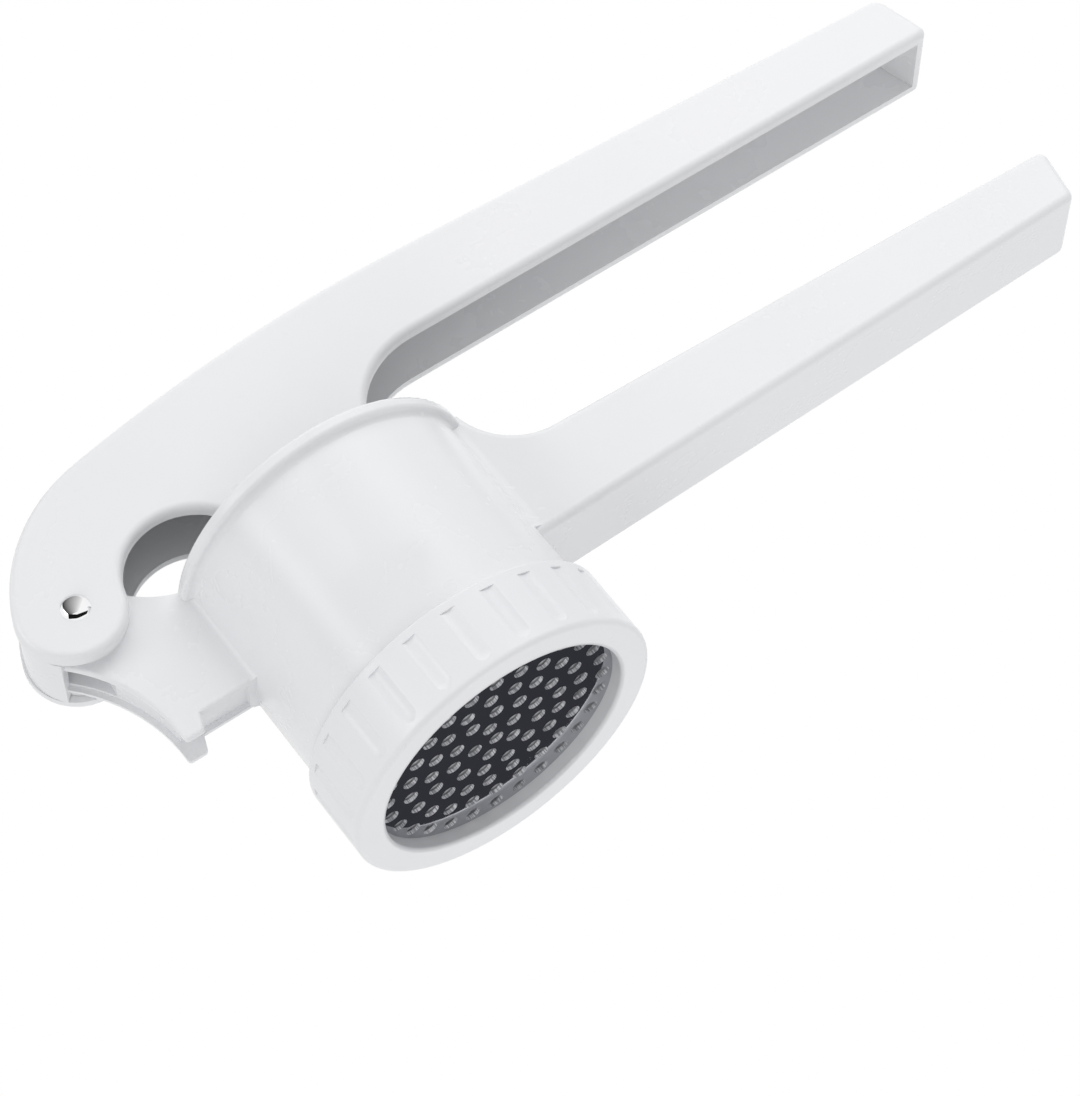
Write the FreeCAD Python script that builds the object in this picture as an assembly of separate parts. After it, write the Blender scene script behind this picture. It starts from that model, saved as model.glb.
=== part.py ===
import FreeCAD, Part
import math
import os

os.makedirs("parts", exist_ok=True)

# Hand press that squeezes soft dough through a sieve into short noodles.
# Frame: origin at the centre of the ring nut's underside, +Z up along the cup's
# axis, +X towards the handles, the hinge lies on the -X side.  All sizes in mm.

# Cup, turned about the Z axis
cup_bore = 36.9            # inner radius
cup_wall = 2.6
cup_depth = 74.2           # from the sieve's top face to the rim
flange_reach = 2.5         # how far the rim stands out from the wall
flange_height = 3.7
flange_round = 1.2
flange_fillet = 1.4        # under the rim, where it meets the wall
rim_lead = 1.4             # sloped edge inside the rim, guides the plunger in

# Sieve disc
sieve_thickness = 1.0
sieve_gap = 0.3            # between its edge and the ring nut's bore
hole_radius = 2.0
hole_ring_step = 6.25      # from one ring of holes to the next
hole_counts = (5, 11, 17, 22, 28)            # from the inner ring outwards
hole_turns = (37.5, 9.1, 12.0, 9.0, 0.7)     # degrees each ring starts at

# Ring nut
thread_gap = 0.3           # between the cup's wall and the nut's bore
nut_wall = 2.7
nut_height = 21.0
lip_thickness = 4.0
lip_reach = 5.5            # how far the lip reaches in under the sieve
nut_round = 1.4
lip_round = 1.0
flute_count = 24
flute_radius = 4.6
flute_depth = 0.55
flute_foot = 2.5           # height of the flutes' lower ends
flute_top_land = 2.5       # plain band above the flutes
flute_turn = 10.7          # degrees, of the first flute

# Handles
handle_width = 24.5
handle_cove = 3.6          # eases the lower handle's sides into the cup
cheek_wall = 3.5
web_wall = 3.5
end_wall = 3.3
edge_round = 2.0

# Hinge between the cup's lug and the lever
hinge_x = -65.0
hinge_z = 86.3
pin_radius = 3.0
pin_gap = 0.05
pin_head_radius = 3.75
pin_head_height = 1.6
hub_side_gap = 0.2         # between the hub's faces and the lever's cheeks
hub_radius = 12.4
nose_radius = 14.7         # of the hub's outer wall, the end of the press
eye_radius = 14.0          # of the lever's round end
eye_shift = 1.25           # how far its centre lies beyond the pin
eye_lift = 0.5             # and above it

# Lever, side profile
lever_line_x = 60.0        # where the straight top of the grip begins
lever_line_z = 130.1
lever_line_fall = 0.043
lever_end_top_x = 209.8
lever_end_foot_x = 214.2
lever_lower_z = 106.5
lever_end_round = 4.0
lever_foot_round = 2.3
back_radius = 440.0
crown_radius = 47.7
throat_x = 46.0
throat_radius = 24.9
tongue_left = -18.8
tongue_bottom = 42.0
tongue_round = 6.0
arch_z = 79.5
web_end_gap = 0.5          # between the lever's web and the hub's nose
web_end_angle = 120.0      # where the web stops, seen from the pin
rib_wall = 2.5
rib_gap = 1.5              # between the tongue's rib and the plunger's eye

# Lug on the cup that carries the hinge
lug_width = 12.4
lug_round = 0.8
lug_wall = 1.6             # of the two cheeks beside the channel
channel_depth = 1.6        # of the channel along the underside
lug_cove = 2.0             # eases the lug's sides into the cup
notch_z = 47.7
tooth_left = -61.9
tooth_right = -56.6
tooth_slant = 1.7
tooth_z = 43.2
tooth_round = 1.0
underside_radius = 45.0
underside_angle = 220.5    # where the underside leaves the hub, seen from the pin
underside_reach = 13.5     # and how far from the pin
saddle_radius = 25.0
nose_wall = 3.0
nose_foot_angle = 223.0
pocket_width = 8.4         # of the deep pocket under the hub
pocket_core = 6.2          # left round the pin
pocket_end_z = 65.5        # where the pocket runs out on the underside

# Lower handle, side profile
grip_top_root = 63.6
grip_top_end = 58.5
grip_low_root = 38.2
grip_low_end = 41.9
grip_end_x = 213.0
grip_end_slant = 3.2
grip_end_round = 2.5
grip_wall = 3.0
root_radius = 19.0
root_x = 60.2

# Plunger
plunger_pivot_x = 1.15
plunger_pivot_z = 51.0
plunger_slack = 4.9        # between disc and bore, which the disc crosses as it swings
plunger_near = 0.5         # of it left on the hinge side when closed
plunger_rest = 0.5         # left between the disc and the sieve when closed
plunger_plate = 3.5
plunger_round = 3.0
plunger_rim = 2.5
plunger_rim_height = 9.0
plunger_eye = 7.0
plunger_side_gap = 0.35
plunger_ear = 3.2
plunger_rib = 2.2
axle_radius = 2.5
axle_head_radius = 4.2
axle_head_height = 1.2

# Sizes that follow
cup_radius = cup_bore + cup_wall
nut_bore = cup_radius + thread_gap
nut_radius = nut_bore + nut_wall
opening = nut_bore - lip_reach
cup_foot = lip_thickness + sieve_thickness
plunger_radius = cup_bore - plunger_slack
plunger_shift = plunger_near - plunger_slack      # disc centre from the cup's axis
rim_z = cup_foot + cup_depth
flange_radius = cup_radius + flange_reach
half_width = handle_width / 2
half_gap = half_width - cheek_wall
hub_half = half_gap - hub_side_gap
eye_centre = (hinge_x - eye_shift, hinge_z + eye_lift)
arch_span = tongue_left - eye_centre[0]
arch_radius = (arch_span ** 2 + (arch_z - eye_centre[1]) ** 2 - eye_radius ** 2) / (
    2 * (arch_span + eye_radius))      # touches the round end and the tongue
arch_x = tongue_left - arch_radius
tongue_right = throat_x - throat_radius
throat_z = lever_lower_z - throat_radius
crown_steps = 4
back_steps = 10
over = 2.0                 # how far a cutting body runs past the face it opens
seam_turn = 100.0
cove_sink = 0.08           # how far a cove's edge runs into the cup's wall


def vec(x, y, z):
    return FreeCAD.Vector(x, y, z)


def line(a, b):
    """Straight edge between two points of the XZ plane."""
    return Part.LineSegment(vec(a[0], 0, a[1]), vec(b[0], 0, b[1])).toShape()


def arc_centre(a, b, radius):
    """Centre of an arc from a to b that lies on the left of the way."""
    half = math.dist(a, b) / 2
    rise = math.sqrt(radius ** 2 - half ** 2)
    along = ((b[0] - a[0]) / (2 * half), (b[1] - a[1]) / (2 * half))
    return ((a[0] + b[0]) / 2 - rise * along[1], (a[1] + b[1]) / 2 + rise * along[0])


def arc(a, b, radius):
    """Arc from a to b, its centre on the left of the way from a to b."""
    return arc_about(arc_centre(a, b, radius), a, b, ccw=True)


def arc_about(centre, a, b, ccw):
    """Arc from a to b about a centre, counterclockwise or clockwise."""
    start = math.atan2(a[1] - centre[1], a[0] - centre[0])
    stop = math.atan2(b[1] - centre[1], b[0] - centre[0])
    radius = math.dist(centre, a)
    if ccw and stop <= start:
        stop += 2 * math.pi
    if not ccw and stop >= start:
        stop -= 2 * math.pi
    middle = polar(centre, radius, math.degrees((start + stop) / 2))
    return Part.Arc(
        vec(a[0], 0, a[1]), vec(middle[0], 0, middle[1]), vec(b[0], 0, b[1])
    ).toShape()


def arcs_about(centre, a, b, steps):
    """Clockwise arc from a to b in equal steps, which keeps its rounding even."""
    start = math.degrees(math.atan2(a[1] - centre[1], a[0] - centre[0]))
    stop = math.degrees(math.atan2(b[1] - centre[1], b[0] - centre[0]))
    if stop >= start:
        stop -= 360
    radius = math.dist(centre, a)
    inner = [polar(centre, radius, start + (stop - start) * k / steps) for k in range(1, steps)]
    points = [a] + inner + [b]
    return [arc_about(centre, points[k], points[k + 1], False) for k in range(steps)]


def polar(centre, radius, degrees):
    angle = math.radians(degrees)
    return (centre[0] + radius * math.cos(angle), centre[1] + radius * math.sin(angle))


def circles_meet(c1, r1, c2, r2):
    """The upper one of the points that two circles of the XZ plane share."""
    gap = math.dist(c1, c2)
    along = (gap ** 2 + r1 ** 2 - r2 ** 2) / (2 * gap)
    across = math.sqrt(r1 ** 2 - along ** 2)
    ux = (c2[0] - c1[0]) / gap
    uz = (c2[1] - c1[1]) / gap
    pair = [
        (c1[0] + along * ux - across * uz, c1[1] + along * uz + across * ux),
        (c1[0] + along * ux + across * uz, c1[1] + along * uz - across * ux),
    ]
    return max(pair, key=lambda point: point[1])


def plate(edges, y0, y1):
    """Solid between two Y planes with a closed XZ outline."""
    wire = Part.Wire(Part.__sortEdges__(edges))
    face = Part.Face(wire)
    face.translate(vec(0, y0, 0))
    return face.extrude(vec(0, y1 - y0, 0))


def rod(x, z, radius, y0, y1):
    """Cylinder along Y."""
    return Part.makeCylinder(radius, y1 - y0, vec(x, y0, z), vec(0, 1, 0))


def drum(radius, z0, z1, x=0.0):
    """Cylinder along Z."""
    return Part.makeCylinder(radius, z1 - z0, vec(x, 0, z0), vec(0, 0, 1))


def sector(centre, radius, a0, a1, y0, y1):
    """Pie slice about a centre, between two angles, between two Y planes."""
    p0 = polar(centre, radius, a0)
    p1 = polar(centre, radius, a1)
    edges = [line(centre, p0), arc_about(centre, p0, p1, True), line(p1, centre)]
    return plate(edges, y0, y1)


def rounded(shape, radius, wanted):
    """Fillet of the edges for which wanted(middle, edge) is true."""
    chosen = []
    for edge in shape.Edges:
        first, last = edge.ParameterRange
        middle = edge.valueAt((first + last) / 2)
        if wanted(middle, edge):
            chosen.append(edge)
    return shape.makeFillet(radius, chosen)


def turned(points):
    """Solid of revolution about Z of a closed line of (radius, z) points.

    Its seam is turned to the side, clear of the handle and of the lug.
    """
    corners = [vec(r, 0, z) for r, z in points]
    wire = Part.makePolygon(corners + corners[:1])
    body = Part.Face(wire).revolve(vec(0, 0, 0), vec(0, 0, 1), 360)
    body.rotate(vec(0, 0, 0), vec(0, 0, 1), seam_turn)
    return body


def circle_edges(z, radius):
    """Chooser for the round edge of that height and radius."""
    def wanted(middle, edge):
        far = abs(math.hypot(middle.x, middle.y) - radius)
        return abs(middle.z - z) < 0.01 and far < 0.01
    return wanted


# ---------------------------------------------------------------- cup
# Thin cup with a stepped-out rim.  Its foot stands on the sieve disc.
def make_cup():
    body = turned([
        (cup_bore, cup_foot),
        (cup_radius, cup_foot),
        (cup_radius, rim_z - flange_height),
        (flange_radius, rim_z - flange_height),
        (flange_radius, rim_z),
        (cup_bore + rim_lead, rim_z),
        (cup_bore, rim_z - rim_lead),
    ])
    body = rounded(body, flange_round, circle_edges(rim_z, flange_radius))
    under = rim_z - flange_height
    body = rounded(body, flange_round, circle_edges(under, flange_radius))
    return rounded(body, flange_fillet, circle_edges(under, cup_radius))


# ---------------------------------------------------------------- lower handle
# Channel that is open upwards, with a floor, two sides and an end wall.
def grip_line(x, root, end):
    return root + (end - root) * (x - cup_radius) / (grip_end_x - cup_radius)


def make_lower_handle():
    start = math.sqrt(cup_radius ** 2 - half_width ** 2) - cup_wall / 2
    foot_x = grip_end_x - grip_end_slant
    top_root = (root_x, grip_line(root_x, grip_top_root, grip_top_end))
    crest_z = rim_z - flange_round / 2
    lift = top_root[1] + root_radius - crest_z
    crest = (root_x - math.sqrt(root_radius ** 2 - lift ** 2), crest_z)
    end_top = (grip_end_x, grip_top_end)
    end_foot = (foot_x, grip_line(foot_x, grip_low_root, grip_low_end))
    low_root = (start, grip_line(start, grip_low_root, grip_low_end))
    outline = [
        line((start, crest_z), crest),
        arc(crest, top_root, root_radius),
        line(top_root, end_top),
        line(end_top, end_foot),
        line(end_foot, low_root),
        line(low_root, (start, crest_z)),
    ]
    bar = plate(outline, -half_width, half_width)

    def end_edges(middle, edge):
        return abs(middle.y) < 0.01 and middle.x > foot_x - 1

    bar = rounded(bar, grip_end_round, end_edges)

    def low_edges(middle, edge):
        side = abs(abs(middle.y) - half_width) < 0.01
        low = middle.z < grip_line(middle.x, grip_low_root, grip_low_end) + 1
        end = middle.x > foot_x - grip_end_round - 1
        return side and (low or end) and middle.z < grip_top_end - grip_end_round

    bar = rounded(bar, edge_round, low_edges)
    inner_half = half_width - grip_wall
    back = start - over
    floor_z = grip_line(back, grip_low_root, grip_low_end) + grip_wall
    wall_top = (grip_end_x - grip_wall, grip_top_end)
    wall_foot = (foot_x - grip_wall, end_foot[1] + grip_wall)
    inside = [
        line((back, floor_z), (back, rim_z + over)),
        line((back, rim_z + over), (wall_top[0], rim_z + over)),
        line((wall_top[0], rim_z + over), wall_top),
        line(wall_top, wall_foot),
        line(wall_foot, (back, floor_z)),
    ]
    return bar.cut(plate(inside, -inner_half, inner_half))


# ---------------------------------------------------------------- lug
# Neck beside the cup with the hinge hub, a notch that sits over the rim of a pot
# and a tooth that keeps it there.  A channel between two cheeks runs underneath.
def make_lug():
    pin = (hinge_x, hinge_z)
    root = cup_radius - cup_wall / 2
    leave = polar(pin, underside_reach, underside_angle)
    corner = (tooth_left, tooth_z)
    shoulder = (-cup_radius - flange_reach / 2, rim_z - flange_round / 2)
    hub_top = (hinge_x + hub_radius, hinge_z)
    notch = (tooth_right + tooth_slant, notch_z)
    outline = [
        line((-root, notch_z), notch),
        line(notch, (tooth_right, tooth_z)),
        line((tooth_right, tooth_z), corner),
        arc(corner, leave, underside_radius),
        line(leave, pin),
        line(pin, hub_top),
        arc(hub_top, shoulder, saddle_radius),
        line(shoulder, (-root, shoulder[1])),
        line((-root, shoulder[1]), (-root, notch_z)),
    ]
    neck = plate(outline, -lug_width / 2, lug_width / 2)

    def tooth_edges(middle, edge):
        return abs(middle.y) < 0.01 and abs(middle.z - tooth_z) < 0.01

    neck = rounded(neck, tooth_round, tooth_edges)

    def under_edges(middle, edge):
        side = abs(abs(middle.y) - lug_width / 2) < 0.01
        return side and middle.x < -cup_radius and middle.z < hinge_z - 0.5 * hub_radius

    neck = rounded(neck, lug_round, under_edges)
    hub = rod(hinge_x, hinge_z, hub_radius, -hub_half, hub_half)
    nose = sector(pin, nose_radius, web_end_angle, nose_foot_angle, -hub_half, hub_half)
    body = neck.fuse([hub, nose])
    under = arc_centre(corner, leave, underside_radius)
    mouth = polar(pin, nose_radius + over, nose_foot_angle)
    high = polar(pin, underside_reach - channel_depth, nose_foot_angle)
    roof_z = notch_z + channel_depth
    span = math.sqrt(underside_radius ** 2 - (roof_z - under[1]) ** 2)
    low = (under[0] + span + channel_depth, roof_z)
    stop_x = -cup_radius - lug_cove
    floor_z = tooth_z - over
    channel = [
        line(mouth, (mouth[0], floor_z)),
        line((mouth[0], floor_z), (stop_x, floor_z)),
        line((stop_x, floor_z), (stop_x, roof_z)),
        line((stop_x, roof_z), low),
        arc(low, high, underside_radius + channel_depth),
        line(high, mouth),
    ]
    front = lug_wall - lug_width / 2
    body = body.cut(plate(channel, front, -front))
    rear = front + pocket_width
    inner = nose_radius - nose_wall
    behind = sector(pin, inner, nose_foot_angle - 25, nose_foot_angle + 1, front, rear)
    span = math.sqrt(underside_radius ** 2 - (pocket_end_z - under[1]) ** 2)
    run_out = (under[0] + span, pocket_end_z)
    below = plate([
        line(pin, mouth),
        line(mouth, (mouth[0], pocket_end_z)),
        line((mouth[0], pocket_end_z), run_out),
        line(run_out, polar(pin, pocket_core, 270)),
        line(polar(pin, pocket_core, 270), pin),
    ], front, rear)
    core = rod(hinge_x, hinge_z, pocket_core, front - over, rear + over)
    body = body.cut(behind.fuse(below).cut(core))
    bore = rod(hinge_x, hinge_z, pin_radius + pin_gap, -half_width - over, half_width + over)
    return body.cut(bore)


# ---------------------------------------------------------------- coves
# Concave strips that ease the upright sides of handle and lug into the cup's wall.
def cove(half, radius, foot_z, toward):
    """Pair of strips beside a plate that is 2 * half wide, on one side of the cup."""
    reach = cup_radius + radius - cove_sink
    centre = (toward * math.sqrt(reach ** 2 - (half + radius) ** 2), half + radius)
    at_cup = 1 - radius / reach
    on_cup = (centre[0] * at_cup, centre[1] * at_cup)
    chord = (on_cup[0] + centre[0], on_cup[1] + half)
    away = (chord[0] / 2 - centre[0], chord[1] / 2 - centre[1])
    stretch = radius / math.hypot(away[0], away[1])
    deep = cup_radius - cup_wall / 2
    sunk = half - cup_wall / 2
    points = [
        (centre[0], half),
        (centre[0] + away[0] * stretch, centre[1] + away[1] * stretch),
        on_cup,
        (centre[0] * deep / reach, centre[1] * deep / reach),
        (toward * math.sqrt(deep ** 2 - sunk ** 2), sunk),
        (centre[0], sunk),
    ]
    corners = [vec(x, y, foot_z) for x, y in points]
    hollow = Part.Arc(corners[0], corners[1], corners[2]).toShape()
    edges = [hollow] + Part.makePolygon(corners[2:] + corners[:1]).Edges
    face = Part.Face(Part.Wire(Part.__sortEdges__(edges)))
    strip = face.extrude(vec(0, 0, rim_z - flange_height / 2 - foot_z))
    return [strip, strip.mirror(vec(0, 0, 0), vec(0, 1, 0))]


def make_press_body():
    handle_foot = grip_line(cup_radius, grip_low_root, grip_low_end) + edge_round
    coves = cove(half_width, handle_cove, handle_foot, 1)
    coves += cove(lug_width / 2, lug_cove, notch_z, -1)
    whole = make_cup().fuse([make_lower_handle(), make_lug()] + coves)
    lead = turned([(0, rim_z - rim_lead), (cup_bore, rim_z - rim_lead),
                   (cup_bore + rim_lead, rim_z), (cup_bore + rim_lead, rim_z + over),
                   (0, rim_z + over)])
    return whole.cut([drum(cup_bore, cup_foot - over, rim_z), lead]).removeSplitter()


# ---------------------------------------------------------------- ring nut
# Screws over the cup's foot and holds the sieve up against it.
def make_ring_nut():
    body = turned([
        (opening, 0), (nut_radius, 0), (nut_radius, nut_height),
        (nut_bore, nut_height), (nut_bore, lip_thickness), (opening, lip_thickness),
    ])
    body = rounded(body, nut_round, circle_edges(0, nut_radius))
    body = rounded(body, nut_round / 2, circle_edges(nut_height, nut_radius))
    body = rounded(body, lip_round, circle_edges(0, opening))
    reach = nut_radius + flute_radius - flute_depth
    cutters = []
    low = flute_foot + math.sqrt(2 * flute_radius * flute_depth - flute_depth ** 2)
    for k in range(flute_count):
        angle = math.radians(flute_turn + k * 360 / flute_count)
        at = vec(reach * math.cos(angle), reach * math.sin(angle), low)
        length = nut_height - flute_top_land - low
        cutters.append(Part.makeCylinder(flute_radius, length, at, vec(0, 0, 1)))
        cutters.append(Part.makeSphere(flute_radius, at))
    return body.cut(cutters)


# ---------------------------------------------------------------- sieve
def make_sieve():
    radius = nut_bore - sieve_gap
    disc = drum(radius, lip_thickness, cup_foot)
    holes = [drum(hole_radius, lip_thickness - over, cup_foot + over)]
    reach = 0.0
    for count, turn in zip(hole_counts, hole_turns):
        reach += hole_ring_step
        for k in range(count):
            angle = math.radians(360 * k / count + turn)
            hole = drum(hole_radius, lip_thickness - over, cup_foot + over)
            hole.translate(vec(reach * math.cos(angle), reach * math.sin(angle), 0))
            holes.append(hole)
    return disc.cut(holes)


# ---------------------------------------------------------------- lever
# Channel that is open downwards: two cheeks and a top web.  The cheeks end in a
# round eye at the hinge, an arch over the cup's rim and a tongue into the cup.
def lever_centres(inset):
    """Centres of the long back arc and of the crown arc, and the top's start."""
    tilt = math.hypot(1, lever_line_fall)
    normal = (lever_line_fall / tilt, 1 / tilt)
    top = (lever_line_x, lever_line_z)
    back = (top[0] - back_radius * normal[0], top[1] - back_radius * normal[1])
    crown = circles_meet(
        back, back_radius - crown_radius,
        eye_centre, crown_radius - eye_radius)
    start = (top[0] - inset * normal[0], top[1] - inset * normal[1])
    return back, crown, start


def touch(inner, outer, radius):
    """Point on the line of two centres, a radius out from the outer one."""
    span = math.dist(inner, outer)
    return (outer[0] + (inner[0] - outer[0]) * radius / span,
            outer[1] + (inner[1] - outer[1]) * radius / span)


def lever_top(inset):
    """Edges of the lever's top, from the hinge side to the end, moved inwards."""
    back, crown, start = lever_centres(inset)
    high = touch(crown, back, back_radius - inset)
    low = touch(eye_centre, crown, crown_radius - inset)
    end_z = start[1] - lever_line_fall * (lever_end_top_x - start[0])
    end = (lever_end_top_x, end_z)
    edges = [
        *arcs_about(crown, low, high, crown_steps),
        *arcs_about(back, high, start, back_steps),
        line(start, end),
    ]
    return edges, low, end


def make_lever_sides():
    """The lever's full side outline, as wide as the handle."""
    arch = (arch_x, arch_z)
    top, low, end_top = lever_top(0)
    end_foot = (lever_end_foot_x, lever_lower_z)
    meet = touch(arch, eye_centre, eye_radius)
    throat_top = (throat_x, lever_lower_z)
    outline = top + [
        line(end_top, end_foot),
        line(end_foot, throat_top),
        arc_about((throat_x, throat_z), throat_top, (tongue_right, throat_z), True),
        line((tongue_right, throat_z), (tongue_right, tongue_bottom)),
        line((tongue_right, tongue_bottom), (tongue_left, tongue_bottom)),
        line((tongue_left, tongue_bottom), (tongue_left, arch_z)),
        arc_about(arch, (tongue_left, arch_z), meet, True),
        arc_about(eye_centre, meet, low, False),
    ]
    solid = plate(outline, -half_width, half_width)

    def tongue_edges(middle, edge):
        return abs(middle.y) < 0.01 and abs(middle.z - tongue_bottom) < 0.01

    solid = rounded(solid, tongue_round, tongue_edges)

    def end_top_edge(middle, edge):
        return abs(middle.y) < 0.01 and math.dist((middle.x, middle.z), end_top) < 0.01

    def end_foot_edge(middle, edge):
        return abs(middle.y) < 0.01 and math.dist((middle.x, middle.z), end_foot) < 0.01

    solid = rounded(solid, lever_end_round, end_top_edge)
    return rounded(solid, lever_foot_round, end_foot_edge)


def make_lever():
    body = make_lever_sides()
    pin = (hinge_x, hinge_z)

    def outer_edges(middle, edge):
        return abs(abs(middle.y) - half_width) < 0.01

    body = rounded(body, edge_round, outer_edges)
    top, low, end_top = lever_top(web_wall)
    wall_top = (end_top[0] - end_wall, end_top[1] + lever_line_fall * end_wall)
    wall_foot = (lever_end_foot_x - end_wall, lever_lower_z - over)
    floor_z = tongue_bottom - over
    floor = [(wall_foot[0], floor_z), (low[0], floor_z)]
    edges = top[:-1]
    straight_start = lever_centres(web_wall)[2]
    edges += [
        line(straight_start, wall_top),
        line(wall_top, wall_foot),
        line(wall_foot, floor[0]),
        line(floor[0], floor[1]),
        line(floor[1], low),
    ]
    hollow = plate(edges, -half_gap, half_gap)
    swept = nose_radius + web_end_gap
    eye = rod(hinge_x, hinge_z, swept, -half_gap, half_gap)
    back = sector(pin, 2 * eye_radius, web_end_angle, 300, -half_gap, half_gap)
    body = body.cut([hollow, eye, back])
    body = body.cut(rod(hinge_x, hinge_z, pin_radius, -half_width - over, half_width + over))
    axle = rod(plunger_pivot_x, plunger_pivot_z, axle_radius, -half_width - over, half_width + over)
    return body.cut(axle).fuse(make_tongue_rib()).removeSplitter()


def make_tongue_rib():
    """Upright rib that ties the tongue's cheeks, clear of the plunger's eye."""
    x = plunger_pivot_x + plunger_eye + rib_gap
    z = tongue_bottom + tongue_round
    blank = Part.makeBox(rib_wall, 2 * half_gap, lever_line_z - z, vec(x, -half_gap, z))
    return blank.common(make_lever_sides())


# ---------------------------------------------------------------- pins
# Polished dome head on the -Y side, pressed cap on the +Y side.
def dome(x, z, radius, height, y, outward):
    """Cap of a ball that stands on a Y plane."""
    ball = (radius ** 2 + height ** 2) / (2 * height)
    centre = y - outward * (ball - height)
    whole = Part.makeSphere(ball, vec(x, centre, z))
    y0 = min(y, y + outward * 2 * height)
    keep = rod(x, z, radius + over, y0, y0 + 2 * height)
    return whole.common(keep)


def make_pin(x, z, radius, head_radius, head_height):
    shank = rod(x, z, radius, -half_width, half_width)
    return shank.fuse(dome(x, z, head_radius, head_height, -half_width, -1))


def make_cap(x, z, head_radius, head_height):
    return dome(x, z, head_radius, head_height, half_width, 1)


# ---------------------------------------------------------------- plunger
# Disc with a raised rim and ribs, hung by two ears on the lever's tongue.
def make_plunger():
    centre = plunger_shift
    foot = cup_foot + plunger_rest
    disc = drum(plunger_radius, foot, foot + plunger_rim_height, centre)

    def low_edge(middle, edge):
        far = abs(math.hypot(middle.x - centre, middle.y) - plunger_radius)
        return abs(middle.z - foot) < 0.01 and far < 0.01

    disc = rounded(disc, plunger_round, low_edge)
    well = drum(plunger_radius - plunger_rim, foot + plunger_plate, foot + plunger_rim_height + over, centre)
    disc = disc.cut(well)
    ear_out = half_gap - plunger_side_gap
    top = foot + plunger_plate / 2
    stem = []
    for side in (-1, 1):
        y0 = min(side * ear_out, side * (ear_out - plunger_ear))
        leg = Part.makeBox(2 * plunger_eye, plunger_ear, plunger_pivot_z - top,
                           vec(plunger_pivot_x - plunger_eye, y0, top))
        stem.append(leg)
        stem.append(rod(plunger_pivot_x, plunger_pivot_z, plunger_eye, y0, y0 + plunger_ear))
    tie_top = tongue_bottom - plunger_eye
    tie = Part.makeBox(plunger_rib, 2 * ear_out, tie_top - top,
                       vec(plunger_pivot_x - plunger_rib / 2, -ear_out, top))
    stem.append(tie)
    rib_top = foot + plunger_rim_height
    room = plunger_radius - plunger_rim / 2
    for k in range(8):
        spoke = Part.makeBox(room, plunger_rib, rib_top - top, vec(0, -plunger_rib / 2, top))
        spoke.rotate(vec(0, 0, 0), vec(0, 0, 1), 45 * k + 22.5)
        spoke.translate(vec(centre, 0, 0))
        stem.append(spoke)
    whole = disc.fuse(stem)
    bore = rod(plunger_pivot_x, plunger_pivot_z, axle_radius + pin_gap, -half_width, half_width)
    return whole.cut(bore).removeSplitter()


def solid_of(shape):
    """The one solid of a boolean result."""
    solids = shape.Solids
    if len(solids) != 1:
        raise ValueError("expected one solid, got %d" % len(solids))
    return solids[0]


pieces = {
    "press_body": make_press_body(),
    "ring_nut": make_ring_nut(),
    "sieve_disc": make_sieve(),
    "lever": make_lever(),
    "hinge_pin": make_pin(hinge_x, hinge_z, pin_radius, pin_head_radius, pin_head_height),
    "hinge_pin_cap": make_cap(hinge_x, hinge_z, pin_head_radius, pin_head_height),
    "plunger": make_plunger(),
    "plunger_pin": make_pin(plunger_pivot_x, plunger_pivot_z, axle_radius,
                            axle_head_radius, axle_head_height),
    "plunger_pin_cap": make_cap(plunger_pivot_x, plunger_pivot_z,
                                axle_head_radius, axle_head_height),
}
for node, shape in pieces.items():
    solid = solid_of(shape)
    if not solid.isValid():
        raise ValueError(node + " is not valid")
    solid.exportStep("parts/" + node + ".step")
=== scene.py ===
import math
import bpy
from mathutils import Matrix, Vector

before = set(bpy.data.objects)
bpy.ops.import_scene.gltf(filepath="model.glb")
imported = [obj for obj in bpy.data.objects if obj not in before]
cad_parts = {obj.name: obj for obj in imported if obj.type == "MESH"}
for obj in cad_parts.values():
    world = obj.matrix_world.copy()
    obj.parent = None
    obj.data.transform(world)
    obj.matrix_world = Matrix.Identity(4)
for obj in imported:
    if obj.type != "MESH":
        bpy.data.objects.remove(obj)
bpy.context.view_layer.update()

# ---------------------------------------------------------------- viewpoint
# The press is seen from below and in front, with its sieve turned to the eye.
# A long lens almost a metre away keeps the two handles nearly parallel.
eye = Vector((-0.2428928, -0.7661702, -0.3492754))
eye_right = Vector((0.8116460, -0.0015290, -0.5841476))
eye_down = Vector((-0.4937792, 0.5325009, -0.6874772))
eye_ahead = Vector((0.3121103, 0.8464280, 0.4314473))
lens = bpy.data.cameras.new("viewpoint")
lens.sensor_fit = "HORIZONTAL"
lens.sensor_width = 36.0
lens.lens = 122.762
lens.clip_start = 0.05
lens.clip_end = 20.0
viewpoint = bpy.data.objects.new("viewpoint", lens)
facing = Matrix((eye_right, -eye_down, -eye_ahead)).transposed()
viewpoint.matrix_world = Matrix.Translation(eye) @ facing.to_4x4()
bpy.context.scene.collection.objects.link(viewpoint)
bpy.context.scene.camera = viewpoint
bpy.context.scene.view_settings.view_transform = "Standard"

# ---------------------------------------------------------------- cup with lug and lower handle
# One hard white moulding of food-safe plastic, polished outside.  The mould
# leaves a faint ripple, and years of hands and sink leave fine hairlines.
def add_node(tree, kind, values=None, **settings):
    """New node with its settings, and values for its unlinked sockets."""
    node = tree.nodes.new(kind)
    for key, value in settings.items():
        setattr(node, key, value)
    for key, value in (values or {}).items():
        node.inputs[key].default_value = value
    return node


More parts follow.
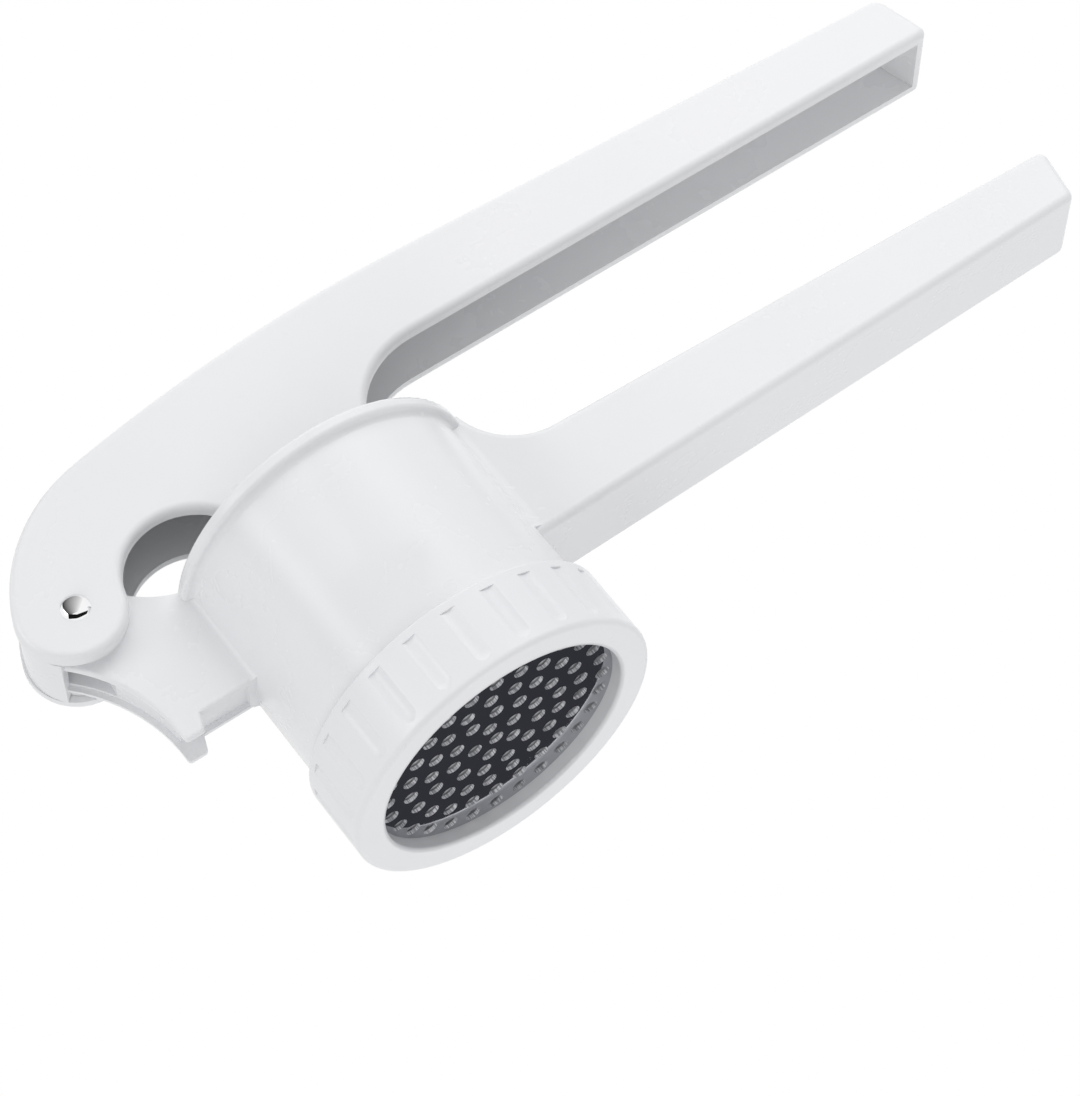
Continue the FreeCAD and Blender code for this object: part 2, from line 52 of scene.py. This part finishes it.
def start_group(name, inputs, outputs):
    """Empty effect with named inputs and outputs, and its two end nodes."""
    group = bpy.data.node_groups.new(name, "ShaderNodeTree")
    for label, kind, value in inputs:
        socket = group.interface.new_socket(label, in_out="INPUT", socket_type=kind)
        socket.default_value = value
    for label, kind in outputs:
        group.interface.new_socket(label, in_out="OUTPUT", socket_type=kind)
    return group, add_node(group, "NodeGroupInput"), add_node(group, "NodeGroupOutput")


COLOR, NUMBER = "NodeSocketColor", "NodeSocketFloat"
MIX_A, MIX_B, MIXED = 6, 7, 2       # sockets of a Mix node that mixes colours


def cloudy_tone():
    """Colour that drifts between two tones, in clouds of a given size."""
    group, given, made = start_group("cloudy tone", [
        ("Tone", COLOR, (0.8, 0.8, 0.8, 1)), ("Drift", COLOR, (0.7, 0.7, 0.7, 1)),
        ("Clouds per Metre", NUMBER, 25.0)], [("Color", COLOR), ("Cloud", NUMBER)])
    place = add_node(group, "ShaderNodeTexCoord")
    cloud = add_node(group, "ShaderNodeTexNoise", {"Detail": 5.0, "Roughness": 0.55})
    spread = add_node(group, "ShaderNodeMapRange", {"From Min": 0.3, "From Max": 0.7})
    blend = add_node(group, "ShaderNodeMix", data_type="RGBA")
    link = group.links.new
    link(place.outputs["Object"], cloud.inputs["Vector"])
    link(given.outputs["Clouds per Metre"], cloud.inputs["Scale"])
    link(cloud.outputs["Fac"], spread.inputs["Value"])
    link(spread.outputs["Result"], blend.inputs["Factor"])
    link(given.outputs["Tone"], blend.inputs[MIX_A])
    link(given.outputs["Drift"], blend.inputs[MIX_B])
    link(blend.outputs[MIXED], made.inputs["Color"])
    link(spread.outputs["Result"], made.inputs["Cloud"])
    return group


def fine_hairlines():
    """Short fine scratches in two crossing directions, as a mask from 0 to 1."""
    group, given, made = start_group("fine hairlines", [
        ("Lines per Metre", NUMBER, 600.0), ("Amount", NUMBER, 0.3)], [("Mask", NUMBER)])
    place = add_node(group, "ShaderNodeTexCoord")
    link = group.links.new
    lean, turn_share = 0.3, 0.8
    masks = []
    for angle, thinness in ((0.5, 0.06), (-0.9, 0.09)):
        lay = add_node(group, "ShaderNodeMapping", vector_type="TEXTURE")
        lay.inputs["Rotation"].default_value = (lean, angle, turn_share * angle)
        lay.inputs["Scale"].default_value = (1.0 / thinness, 1.0, 1.0)
        streak = add_node(group, "ShaderNodeTexNoise", {"Detail": 1.0})
        keep = add_node(group, "ShaderNodeMapRange", {"From Min": 0.68, "From Max": 0.74})
        link(place.outputs["Object"], lay.inputs["Vector"])
        link(lay.outputs["Vector"], streak.inputs["Vector"])
        link(given.outputs["Lines per Metre"], streak.inputs["Scale"])
        link(streak.outputs["Fac"], keep.inputs["Value"])
        masks.append(keep)
    both = add_node(group, "ShaderNodeMath", operation="MAXIMUM")
    patch = add_node(group, "ShaderNodeTexNoise", {"Scale": 45.0, "Detail": 3.0})
    where = add_node(group, "ShaderNodeMapRange", {"From Min": 0.45, "From Max": 0.7})
    held = add_node(group, "ShaderNodeMath", operation="MULTIPLY")
    scaled = add_node(group, "ShaderNodeMath", operation="MULTIPLY")
    link(place.outputs["Object"], patch.inputs["Vector"])
    link(masks[0].outputs["Result"], both.inputs[0])
    link(masks[1].outputs["Result"], both.inputs[1])
    link(patch.outputs["Fac"], where.inputs["Value"])
    link(both.outputs[0], held.inputs[0])
    link(where.outputs["Result"], held.inputs[1])
    link(held.outputs[0], scaled.inputs[0])
    link(given.outputs["Amount"], scaled.inputs[1])
    link(scaled.outputs[0], made.inputs["Mask"])
    return group


def rubbed_edges():
    """Mask of the outward edges that hands and table tops rub."""
    group, given, made = start_group("rubbed edges", [
        ("Reach", NUMBER, 0.0012), ("Amount", NUMBER, 0.5)], [("Mask", NUMBER)])
    flat = add_node(group, "ShaderNodeNewGeometry")
    soft = add_node(group, "ShaderNodeBevel", samples=4)
    match = add_node(group, "ShaderNodeVectorMath", operation="DOT_PRODUCT")
    turn = add_node(group, "ShaderNodeMapRange",
                    {"From Min": 0.995, "From Max": 0.90, "To Min": 0.0, "To Max": 1.0})
    patch = add_node(group, "ShaderNodeTexNoise", {"Scale": 160.0, "Detail": 4.0})
    place = add_node(group, "ShaderNodeTexCoord")
    broken = add_node(group, "ShaderNodeMath", operation="MULTIPLY")
    scaled = add_node(group, "ShaderNodeMath", operation="MULTIPLY")
    link = group.links.new
    link(given.outputs["Reach"], soft.inputs["Radius"])
    link(soft.outputs["Normal"], match.inputs[0])
    link(flat.outputs["Normal"], match.inputs[1])
    link(match.outputs["Value"], turn.inputs["Value"])
    link(place.outputs["Object"], patch.inputs["Vector"])
    link(turn.outputs["Result"], broken.inputs[0])
    link(patch.outputs["Fac"], broken.inputs[1])
    link(broken.outputs[0], scaled.inputs[0])
    link(given.outputs["Amount"], scaled.inputs[1])
    link(scaled.outputs[0], made.inputs["Mask"])
    return group


def mould_grain():
    """Height of the fine ripple that a polished mould leaves in plastic."""
    group, given, made = start_group("mould grain", [
        ("Grains per Metre", NUMBER, 1400.0), ("Waves per Metre", NUMBER, 60.0)],
        [("Height", NUMBER)])
    place = add_node(group, "ShaderNodeTexCoord")
    grain = add_node(group, "ShaderNodeTexNoise", {"Detail": 2.0})
    wave = add_node(group, "ShaderNodeTexNoise", {"Detail": 1.0})
    grain_share = 0.12
    small = add_node(group, "ShaderNodeMath", {1: grain_share}, operation="MULTIPLY")
    total = add_node(group, "ShaderNodeMath", operation="ADD")
    link = group.links.new
    link(place.outputs["Object"], grain.inputs["Vector"])
    link(place.outputs["Object"], wave.inputs["Vector"])
    link(given.outputs["Grains per Metre"], grain.inputs["Scale"])
    link(given.outputs["Waves per Metre"], wave.inputs["Scale"])
    link(grain.outputs["Fac"], small.inputs[0])
    link(small.outputs[0], total.inputs[0])
    link(wave.outputs["Fac"], total.inputs[1])
    link(total.outputs[0], made.inputs["Height"])
    return group


tone_group = cloudy_tone()
hairline_group = fine_hairlines()
edge_group = rubbed_edges()
grain_group = mould_grain()


def white_plastic(name, tone, drift, rub, gloss, clouds=25.0, hairlines=0.2, worn=0.5):
    """Hard white plastic: cloudy colour, duller rubbed edges, hairlines, ripple."""
    ripple_height, wear_dulls, clouds_dull = 0.00015, 0.22, 0.06
    material = bpy.data.materials.new(name)
    material.use_nodes = True
    tree = material.node_tree
    link = tree.links.new
    shader = tree.nodes["Principled BSDF"]
    shader.inputs["IOR"].default_value = 1.49
    tint = add_node(tree, "ShaderNodeGroup", node_tree=tone_group)
    tint.inputs["Tone"].default_value = tone
    tint.inputs["Drift"].default_value = drift
    tint.inputs["Clouds per Metre"].default_value = clouds
    rubbed = add_node(tree, "ShaderNodeGroup", node_tree=edge_group)
    rubbed.inputs["Amount"].default_value = worn
    lines = add_node(tree, "ShaderNodeGroup", node_tree=hairline_group)
    lines.inputs["Amount"].default_value = hairlines
    skin = add_node(tree, "ShaderNodeGroup", node_tree=grain_group)
    wear = add_node(tree, "ShaderNodeMath", operation="MAXIMUM")
    paint = add_node(tree, "ShaderNodeMix", {MIX_B: rub}, data_type="RGBA")
    rough = add_node(tree, "ShaderNodeMapRange",
                     {"To Min": gloss, "To Max": gloss + wear_dulls})
    dull = add_node(tree, "ShaderNodeMath", {1: clouds_dull}, operation="MULTIPLY_ADD")
    bump = add_node(tree, "ShaderNodeBump", {"Strength": 0.35, "Distance": ripple_height})
    link(rubbed.outputs["Mask"], wear.inputs[0])
    link(lines.outputs["Mask"], wear.inputs[1])
    link(wear.outputs[0], paint.inputs[0])
    link(tint.outputs["Color"], paint.inputs[MIX_A])
    link(paint.outputs[MIXED], shader.inputs["Base Color"])
    link(wear.outputs[0], rough.inputs["Value"])
    link(tint.outputs["Cloud"], dull.inputs[0])
    link(rough.outputs["Result"], dull.inputs[2])
    link(dull.outputs[0], shader.inputs["Roughness"])
    link(skin.outputs["Height"], bump.inputs["Height"])
    link(bump.outputs["Normal"], shader.inputs["Normal"])
    return material


def finish_node(name, material):
    """Gives every face of one of the press's solids its material."""
    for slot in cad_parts[name].material_slots:
        slot.material = material


press_white = white_plastic(
    "press body white", tone=(0.845, 0.850, 0.860, 1), drift=(0.825, 0.832, 0.845, 1),
    rub=(0.78, 0.785, 0.79, 1), gloss=0.24)
finish_node("press_body", press_white)

# ---------------------------------------------------------------- lever
# The upper arm, moulded in the same plastic as a channel that is open below.
# It is handled most, so its edges are a little duller.
lever_white = white_plastic(
    "lever white", tone=(0.850, 0.853, 0.862, 1), drift=(0.830, 0.835, 0.846, 1),
    rub=(0.78, 0.785, 0.79, 1), gloss=0.25, clouds=18.0, worn=0.7)
finish_node("lever", lever_white)

# ---------------------------------------------------------------- screw ring
# White plastic ring with shallow grip grooves, screwed on from below.  It is
# set down on the table at every filling, which scuffs its skin.
ring_white = white_plastic(
    "screw ring white", tone=(0.848, 0.852, 0.862, 1), drift=(0.822, 0.830, 0.846, 1),
    rub=(0.77, 0.775, 0.785, 1), gloss=0.28, clouds=32.0, hairlines=0.3, worn=0.6)
finish_node("ring_nut", ring_white)

# ---------------------------------------------------------------- plunger
# Ribbed disc moulded in white plastic, hung on a pin in the lever's tongue inside
# the cup.  Dough and water leave it the least glossy of the white parts.
plunger_white = white_plastic(
    "plunger white", tone=(0.850, 0.850, 0.852, 1), drift=(0.825, 0.828, 0.832, 1),
    rub=(0.77, 0.77, 0.77, 1), gloss=0.34, clouds=30.0)
finish_node("plunger", plunger_white)

# ---------------------------------------------------------------- sieve
# Disc of polished stainless sheet that lies loose on the ring's lip.  The punch
# shears matt, streaky walls in its holes, and washing leaves pale cloudy marks.
def sheared_walls():
    """Mask of the upright walls that a punch shears through flat sheet."""
    group, given, made = start_group("sheared walls", [
        ("Streaks per Metre", NUMBER, 2500.0)], [("Mask", NUMBER), ("Streak", NUMBER)])
    face = add_node(group, "ShaderNodeNewGeometry")
    parts = add_node(group, "ShaderNodeSeparateXYZ")
    upright = add_node(group, "ShaderNodeMath", operation="ABSOLUTE")
    wall = add_node(group, "ShaderNodeMapRange", {"From Min": 0.7, "From Max": 0.3})
    place = add_node(group, "ShaderNodeTexCoord")
    squash = add_node(group, "ShaderNodeMapping", vector_type="POINT")
    squash.inputs["Scale"].default_value = (1.0, 1.0, 0.08)
    streak = add_node(group, "ShaderNodeTexNoise", {"Detail": 2.0})
    link = group.links.new
    link(face.outputs["Normal"], parts.inputs[0])
    link(parts.outputs["Z"], upright.inputs[0])
    link(upright.outputs[0], wall.inputs["Value"])
    link(place.outputs["Object"], squash.inputs["Vector"])
    link(squash.outputs["Vector"], streak.inputs["Vector"])
    link(given.outputs["Streaks per Metre"], streak.inputs["Scale"])
    link(wall.outputs["Result"], made.inputs["Mask"])
    link(streak.outputs["Fac"], made.inputs["Streak"])
    return group


def polished_steel(name, tone, smear, gloss, dull, clouds, hairlines):
    """Bright metal with cloudy smears and hairlines that scatter its shine."""
    clouds_dull, line_depth = 0.02, 0.0001
    material = bpy.data.materials.new(name)
    material.use_nodes = True
    tree = material.node_tree
    link = tree.links.new
    shader = tree.nodes["Principled BSDF"]
    shader.inputs["Metallic"].default_value = 1.0
    tint = add_node(tree, "ShaderNodeGroup", node_tree=tone_group)
    tint.inputs["Tone"].default_value = tone
    tint.inputs["Drift"].default_value = smear
    tint.inputs["Clouds per Metre"].default_value = clouds
    lines = add_node(tree, "ShaderNodeGroup", node_tree=hairline_group)
    lines.inputs["Amount"].default_value = hairlines
    lines.inputs["Lines per Metre"].default_value = 1500.0
    rough = add_node(tree, "ShaderNodeMapRange", {"To Min": gloss, "To Max": dull})
    add = add_node(tree, "ShaderNodeMath", {1: clouds_dull}, operation="MULTIPLY_ADD")
    bump = add_node(tree, "ShaderNodeBump", {"Strength": 0.1, "Distance": line_depth},
                    invert=True)
    link(tint.outputs["Color"], shader.inputs["Base Color"])
    link(lines.outputs["Mask"], rough.inputs["Value"])
    link(tint.outputs["Cloud"], add.inputs[0])
    link(rough.outputs["Result"], add.inputs[2])
    link(add.outputs[0], shader.inputs["Roughness"])
    link(lines.outputs["Mask"], bump.inputs["Height"])
    link(bump.outputs["Normal"], shader.inputs["Normal"])
    return material


def dull_sheared_walls(material, streak_tones, rough, metallic):
    """Gives the sheared walls of a polished sheet their matt, streaky look."""
    tree = material.node_tree
    link = tree.links.new
    shader = tree.nodes["Principled BSDF"]
    face_tone = shader.inputs["Base Color"].links[0].from_socket
    face_rough = shader.inputs["Roughness"].links[0].from_socket
    sheared = add_node(tree, "ShaderNodeGroup", node_tree=sheared_walls())
    streak = add_node(tree, "ShaderNodeMapRange", {"From Min": 0.40, "From Max": 0.60})
    wall_tone = add_node(tree, "ShaderNodeMix",
                         {MIX_A: streak_tones[0], MIX_B: streak_tones[1]}, data_type="RGBA")
    tone = add_node(tree, "ShaderNodeMix", data_type="RGBA")
    wall_rough = add_node(tree, "ShaderNodeMapRange",
                          {"To Min": rough[0], "To Max": rough[1]})
    number_a, number_b, number_mixed = 2, 3, 0
    either_rough = add_node(tree, "ShaderNodeMix", data_type="FLOAT")
    metal = add_node(tree, "ShaderNodeMapRange", {"To Min": 1.0, "To Max": metallic})
    link(sheared.outputs["Streak"], streak.inputs["Value"])
    link(streak.outputs["Result"], wall_tone.inputs["Factor"])
    link(sheared.outputs["Mask"], tone.inputs["Factor"])
    link(face_tone, tone.inputs[MIX_A])
    link(wall_tone.outputs[MIXED], tone.inputs[MIX_B])
    link(tone.outputs[MIXED], shader.inputs["Base Color"])
    link(sheared.outputs["Streak"], wall_rough.inputs["Value"])
    link(sheared.outputs["Mask"], either_rough.inputs["Factor"])
    link(face_rough, either_rough.inputs[number_a])
    link(wall_rough.outputs["Result"], either_rough.inputs[number_b])
    link(either_rough.outputs[number_mixed], shader.inputs["Roughness"])
    link(sheared.outputs["Mask"], metal.inputs["Value"])
    link(metal.outputs["Result"], shader.inputs["Metallic"])


sieve_steel = polished_steel(
    "sieve steel", tone=(0.56, 0.57, 0.60, 1), smear=(0.50, 0.51, 0.55, 1),
    gloss=0.03, dull=0.14, clouds=60.0, hairlines=0.4)
dull_sheared_walls(
    sieve_steel, streak_tones=((0.36, 0.37, 0.40, 1), (0.95, 0.95, 0.97, 1)),
    rough=(0.55, 0.95), metallic=0.25)
finish_node("sieve_disc", sieve_steel)

# ---------------------------------------------------------------- pins
# Two steel pins with domed heads, chromed and polished, each with a pressed cap
# on the far side.  The upper one is the hinge, the lower one carries the plunger.
pin_chrome = polished_steel(
    "pin chrome", tone=(0.93, 0.93, 0.94, 1), smear=(0.89, 0.89, 0.90, 1),
    gloss=0.03, dull=0.12, clouds=200.0, hairlines=0.3)
for pin in ("hinge_pin", "hinge_pin_cap", "plunger_pin", "plunger_pin_cap"):
    finish_node(pin, pin_chrome)

# ---------------------------------------------------------------- studio
# White walls all round, five soft lamps, and a pale table that the eye sees from
# above only. Four small glowing panels are painted reflections, which show in the shines of the
# steel, and nowhere else.
def table_material(shadows_reach, white_from):
    """Matt pale table, seen from above only, that turns into white far away."""
    material = bpy.data.materials.new("pale table")
    material.use_nodes = True
    tree = material.node_tree
    link = tree.links.new
    tree.nodes.remove(tree.nodes["Principled BSDF"])
    out = tree.nodes["Material Output"]
    matt = add_node(tree, "ShaderNodeBsdfDiffuse", {"Color": (0.88, 0.88, 0.88, 1)})
    clear = add_node(tree, "ShaderNodeBsdfTransparent")
    pick = add_node(tree, "ShaderNodeMixShader")
    path = add_node(tree, "ShaderNodeLightPath")
    side = add_node(tree, "ShaderNodeNewGeometry")
    above = add_node(tree, "ShaderNodeMath", {0: 1.0}, operation="SUBTRACT")
    both = add_node(tree, "ShaderNodeMath", operation="MULTIPLY")
    place = add_node(tree, "ShaderNodeTexCoord")
    reach = add_node(tree, "ShaderNodeVectorMath", operation="LENGTH")
    far = add_node(tree, "ShaderNodeMapRange",
                   {"From Min": shadows_reach, "From Max": white_from},
                   interpolation_type="SMOOTHSTEP")
    white = add_node(tree, "ShaderNodeEmission")
    surface = add_node(tree, "ShaderNodeMixShader")
    link(place.outputs["Object"], reach.inputs[0])
    link(reach.outputs["Value"], far.inputs["Value"])
    link(far.outputs["Result"], surface.inputs[0])
    link(matt.outputs[0], surface.inputs[1])
    link(white.outputs[0], surface.inputs[2])
    link(side.outputs["Backfacing"], above.inputs[1])
    link(path.outputs["Is Camera Ray"], both.inputs[0])
    link(above.outputs[0], both.inputs[1])
    link(both.outputs[0], pick.inputs[0])
    link(clear.outputs[0], pick.inputs[1])
    link(surface.outputs[0], pick.inputs[2])
    link(pick.outputs[0], out.inputs["Surface"])
    return material


def stage_panel(name, corners, material):
    """Flat panel of the studio, from its corners."""
    mesh = bpy.data.meshes.new(name)
    mesh.from_pydata(corners, [], [tuple(range(len(corners)))])
    mesh.materials.append(material)
    panel = bpy.data.objects.new(name, mesh)
    bpy.context.scene.collection.objects.link(panel)
    return panel


table_reach, table_z = 5, -0.0004
stage_panel("table", [(table_reach * x, table_reach * y, table_z)
                      for x, y in ((-1, -1), (1, -1), (1, 1), (-1, 1))],
            table_material(shadows_reach=0.18, white_from=0.70))
half_square = 0.5                   # of the unit square that a painted reflection panel is spread from


def painted_reflection_material(name, dark, bright, feather, tint):
    """Glowing painted reflection that only shines see, from dark to bright, faded out at its
    edges.
    """
    material = bpy.data.materials.new(name)
    material.use_nodes = True
    tree = material.node_tree
    link = tree.links.new
    tree.nodes.remove(tree.nodes["Principled BSDF"])
    glow = add_node(tree, "ShaderNodeEmission", {"Color": tint})
    shade = add_node(tree, "ShaderNodeMapRange", {
        "From Min": -half_square, "From Max": half_square, "To Min": dark, "To Max": bright})
    clear = add_node(tree, "ShaderNodeBsdfTransparent")
    pick = add_node(tree, "ShaderNodeMixShader")
    place = add_node(tree, "ShaderNodeTexCoord")
    axes = add_node(tree, "ShaderNodeSeparateXYZ")
    reach = [add_node(tree, "ShaderNodeMath", operation="ABSOLUTE") for _ in range(2)]
    far = add_node(tree, "ShaderNodeMath", operation="MAXIMUM")
    fade = add_node(tree, "ShaderNodeMapRange",
                    {"From Min": half_square, "From Max": half_square - feather},
                    interpolation_type="SMOOTHSTEP")
    link(place.outputs["Object"], axes.inputs[0])
    link(axes.outputs["X"], shade.inputs["Value"])
    link(shade.outputs["Result"], glow.inputs["Strength"])
    link(axes.outputs["X"], reach[0].inputs[0])
    link(axes.outputs["Y"], reach[1].inputs[0])
    link(reach[0].outputs[0], far.inputs[0])
    link(reach[1].outputs[0], far.inputs[1])
    link(far.outputs[0], fade.inputs["Value"])
    link(fade.outputs["Result"], pick.inputs[0])
    link(clear.outputs[0], pick.inputs[1])
    link(glow.outputs[0], pick.inputs[2])
    link(pick.outputs[0], tree.nodes["Material Output"].inputs["Surface"])
    return material


def painted_reflection_panel(name, corners, dark, bright, feather, tint=(1, 1, 1, 1), place=None):
    """Glowing panel that paints a reflection and takes part in shines only."""
    panel = stage_panel(name, corners, painted_reflection_material(name, dark, bright, feather, tint))
    panel.matrix_world = place or Matrix.Identity(4)
    panel.visible_camera = False
    panel.visible_diffuse = False
    panel.visible_shadow = False
    panel.visible_transmission = False


def spread(middle, along, up):
    """Place that spreads a unit square over two directions about a point."""
    along, up = Vector(along), Vector(up)
    out = along.cross(up).normalized()
    return Matrix.Translation(middle) @ Matrix((along, up, out)).transposed().to_4x4()


square = [(half_square * x, half_square * y, 0) for x, y in ((-1, -1), (1, -1), (1, 1), (-1, 1))]
# Painted reflection: a glowing sheet, dark at one side and bright at the other, that the chrome
# pin heads mirror as their shade and highlight.
painted_reflection_panel("painted pin reflection", square, dark=0.01, bright=1.05, feather=0.004, place=spread(
    middle=(-0.0555, -0.0625, 0.1130), along=(0.0902, -0.0614, -0.0346),
    up=(0.0637, 0.1081, 0.1071)))
# Painted shade in reflections: a grey glowing sheet in front that the front faces mirror darker
# than the white walls.
painted_reflection_panel("painted front shade reflection", square, dark=0.25, bright=0.25, feather=0.3, place=spread(
    middle=(-0.08, -0.58, 0.31), along=(0.64, 0, 0), up=(0, 0, 0.45)))
# Painted shade in reflections: a near-black strip just in front of the press, low down, that
# nearby faces mirror as dark.
dark_reflection_y = -0.0538
painted_reflection_panel("painted low dark reflection", [
    (-0.110, dark_reflection_y, 0.0907), (-0.0733, dark_reflection_y, 0.0626), (0.0154, dark_reflection_y, 0.0463),
    (-0.0091, dark_reflection_y, 0.0283), (-0.0864, dark_reflection_y, 0.0398), (-0.145, dark_reflection_y, 0.0683)],
    dark=0.01, bright=0.01, feather=0.1)
# Painted reflection: a dark bluish glowing disc under the ring that the sieve's polished face
# mirrors as its dark shine.
sieve_reflection_radius, sieve_reflection_z, sieve_reflection_sides = 0.0352, -0.0002, 48
turns = [2 * math.pi * side / sieve_reflection_sides for side in range(sieve_reflection_sides)]
painted_reflection_panel("painted sieve reflection",
     [(sieve_reflection_radius * math.cos(turn), sieve_reflection_radius * math.sin(turn), sieve_reflection_z) for turn in turns],
     dark=0.062, bright=0.062, feather=0.1, tint=(0.84, 0.85, 1.0, 1))

walls = bpy.data.worlds.new("white walls")
bpy.context.scene.world = walls
walls.use_nodes = True
tree = walls.node_tree
shown = tree.nodes["Background"]
shown.inputs["Color"].default_value = (1, 1, 1, 1)
shown.inputs["Strength"].default_value = 1.0
fill = add_node(tree, "ShaderNodeBackground", {"Color": (0.985, 0.99, 1.0, 1), "Strength": 0.60})
path = add_node(tree, "ShaderNodeLightPath")
seen = add_node(tree, "ShaderNodeMath", operation="MAXIMUM")
seen_or_mirrored = add_node(tree, "ShaderNodeMath", operation="MAXIMUM")
pick = add_node(tree, "ShaderNodeMixShader")
tree.links.new(path.outputs["Is Camera Ray"], seen.inputs[0])
tree.links.new(path.outputs["Is Transmission Ray"], seen.inputs[1])
tree.links.new(seen.outputs[0], seen_or_mirrored.inputs[0])
tree.links.new(path.outputs["Is Glossy Ray"], seen_or_mirrored.inputs[1])
tree.links.new(seen_or_mirrored.outputs[0], pick.inputs[0])
tree.links.new(fill.outputs[0], pick.inputs[1])
tree.links.new(shown.outputs[0], pick.inputs[2])
tree.links.new(pick.outputs[0], tree.nodes["World Output"].inputs["Surface"])


def softbox(name, place, target, size, power, shines=False):
    """Rectangular area lamp that faces a target, mirrored only if it shines."""
    light = bpy.data.lights.new(name, "AREA")
    light.shape = "RECTANGLE"
    light.size, light.size_y = size
    light.energy = power
    lamp = bpy.data.objects.new(name, light)
    lamp.location = place
    aim = Vector(target) - Vector(place)
    lamp.rotation_euler = aim.to_track_quat("-Z", "Y").to_euler()
    lamp.visible_glossy = shines
    bpy.context.scene.collection.objects.link(lamp)


softbox("right softbox", place=(0.85, -0.85, 0.62), target=(0.06, 0, 0.07),
        size=(0.7, 0.7), power=5.2)
softbox("top softbox", place=(0.3, -1.0, 1.1), target=(0.05, 0, 0.07),
        size=(0.9, 0.9), power=3.4)
softbox("left strip", place=(-1.1, -0.82, 0.68), target=(0, 0, 0.04),
        size=(0.28, 0.9), power=2.8, shines=True)
softbox("low left softbox", place=(-1.1, -0.4, -0.9), target=(0.05, 0, 0.0),
        size=(0.8, 0.8), power=4.6)
softbox("low back softbox", place=(0.6, 0.6, -1.1), target=(0.05, 0, 0.0),
        size=(0.8, 0.8), power=4.0)
